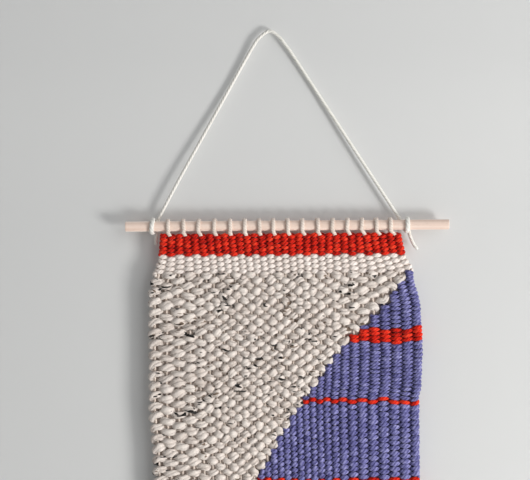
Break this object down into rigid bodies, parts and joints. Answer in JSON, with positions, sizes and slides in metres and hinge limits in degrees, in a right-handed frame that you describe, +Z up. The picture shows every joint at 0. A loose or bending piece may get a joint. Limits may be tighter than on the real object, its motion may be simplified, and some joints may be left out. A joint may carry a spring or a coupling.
{
  "type": "tapestry wall hanging",
  "caption": "Handwoven wall hanging: cotton warp loops over a wooden dowel on a cord, with red, cream, flecked and striped blue areas and a knotted fringe.",
  "frame": {"origin": "underside of the hanging cord's bend, where it rests on the wall hook", "axes": "+Z up, +X to the right of someone facing the front, +Y towards the wall"},
  "size_m": [0.3048, 0.0205, 0.6674],
  "materials": {
    "white_cord": "matt twisted cotton cord",
    "birch_wood": "sanded, unvarnished",
    "warp_cotton": "matt plied cotton string",
    "red_wool": "matt wool weft",
    "cream_yarn": "matt wool weft",
    "flecked_yarn": "thick matt weft with dark flecks",
    "blue_wool": "matt wool weft"
  },
  "bodies": {
    "hanger": {"hanging_cord": "white_cord", "left_hitch": "white_cord", "right_hitch": "white_cord"},
    "dowel": {"dowel": "birch_wood"},
    "cloth": {"warp_loop_01": "warp_cotton", "warp_loop_02": "warp_cotton", "warp_loop_03": "warp_cotton", "warp_loop_04": "warp_cotton", "warp_loop_05": "warp_cotton", "warp_loop_06": "warp_cotton", "warp_loop_07": "warp_cotton", "warp_loop_08": "warp_cotton", "warp_loop_09": "warp_cotton", "warp_loop_10": "warp_cotton", "warp_loop_11": "warp_cotton", "warp_loop_12": "warp_cotton", "warp_loop_13": "warp_cotton", "warp_loop_14": "warp_cotton", "warp_loop_15": "warp_cotton", "warp_loop_16": "warp_cotton", "red_heading": "red_wool", "cream_band": "cream_yarn", "tweed_field": "flecked_yarn", "blue_field_1": "blue_wool", "blue_field_2": "blue_wool", "blue_field_3": "blue_wool", "blue_field_4": "blue_wool", "blue_field_5": "blue_wool", "blue_field_6": "blue_wool", "red_stripe_1": "red_wool", "red_stripe_2": "red_wool", "red_stripe_3": "red_wool", "red_stripe_4": "red_wool", "red_stripe_5": "red_wool"},
    "fringe": {"warp_end_01": "warp_cotton", "warp_end_02": "warp_cotton", "warp_end_03": "warp_cotton", "warp_end_04": "warp_cotton", "warp_end_05": "warp_cotton", "warp_end_06": "warp_cotton", "warp_end_07": "warp_cotton", "warp_end_08": "warp_cotton", "warp_end_09": "warp_cotton", "warp_end_10": "warp_cotton", "warp_end_11": "warp_cotton", "warp_end_12": "warp_cotton", "warp_end_13": "warp_cotton", "warp_end_14": "warp_cotton", "warp_end_15": "warp_cotton", "warp_end_16": "warp_cotton"}
  },
  "joints": [
    {"name": "dowel_slide", "type": "slide", "parent": "hanger", "child": "dowel", "axis": [1, 0, 0], "range_m": [-0.033, 0.02]},
    {"name": "cloth_swing", "type": "hinge", "parent": "hanger", "child": "cloth", "pos_m": [0, 0, -0.1816], "axis": [-1, 0, 0], "range_deg": [0, 85]},
    {"name": "fringe_swing", "type": "hinge", "parent": "cloth", "child": "fringe", "pos_m": [0, 0, -0.598], "axis": [-1, 0, 0], "range_deg": [-45, 45]}
  ]
}
